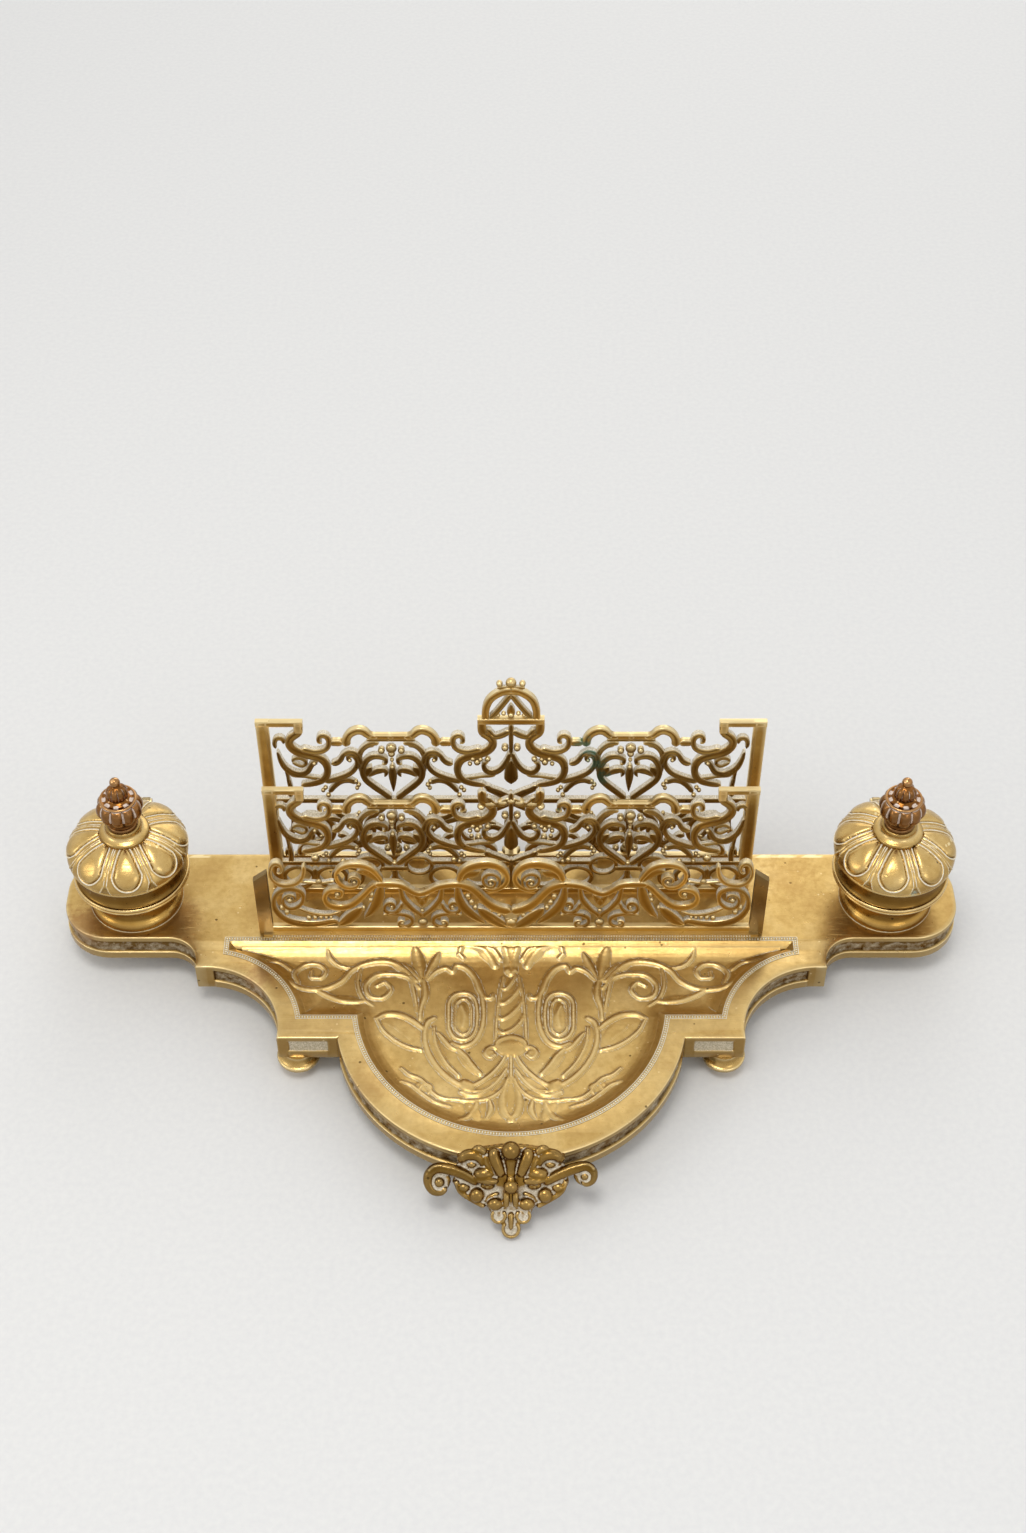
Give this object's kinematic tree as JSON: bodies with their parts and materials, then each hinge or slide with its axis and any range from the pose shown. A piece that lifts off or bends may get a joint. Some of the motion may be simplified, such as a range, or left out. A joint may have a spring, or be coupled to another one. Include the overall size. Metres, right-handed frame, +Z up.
{
  "type": "desk inkstand",
  "caption": "Cast-brass desk inkstand with hinged lids on its end inkwells, an openwork letter rack and a round-fronted pen tray on feet.",
  "frame": {"origin": "middle of the object's length and depth, on the table it stands on", "axes": "+X along the length towards the right inkwell seen from the front, +Y towards the back gallery, +Z up"},
  "size_m": [0.38, 0.1826, 0.1338],
  "materials": {
    "aged_brass": "aged cast brass, polished high and brown in the recesses",
    "copper_bronze": "copper-toned cast bronze with pale residue in the flutes",
    "liner_glass": "clear pressed glass",
    "screw_steel": "dull turned steel"
  },
  "bodies": {
    "stand": {"base_plate": "aged_brass", "front_gallery": "aged_brass", "middle_gallery": "aged_brass", "back_gallery": "aged_brass", "left_well": "aged_brass", "right_well": "aged_brass", "left_liner": "liner_glass", "right_liner": "liner_glass", "left_hinge_pin": "aged_brass", "right_hinge_pin": "aged_brass", "mask_mount": "aged_brass", "front_left_foot": "aged_brass", "front_right_foot": "aged_brass", "rear_left_foot": "aged_brass", "rear_right_foot": "aged_brass", "foot_screws": "screw_steel", "well_screws": "screw_steel", "gallery_screws": "screw_steel", "mask_screws": "screw_steel"},
    "left_lid": {"left_lid": "aged_brass", "left_finial": "copper_bronze", "left_finial_nut": "screw_steel"},
    "right_lid": {"right_lid": "aged_brass", "right_finial": "copper_bronze", "right_finial_nut": "screw_steel"}
  },
  "joints": [
    {"name": "left_lid_hinge", "type": "hinge", "parent": "stand", "child": "left_lid", "pos_m": [-0.1599, 0.0892, 0.0538], "axis": [-1, 0, 0], "range_deg": [0, 100]},
    {"name": "right_lid_hinge", "type": "hinge", "parent": "stand", "child": "right_lid", "pos_m": [0.1599, 0.0892, 0.0538], "axis": [-1, 0, 0], "range_deg": [0, 100]}
  ]
}
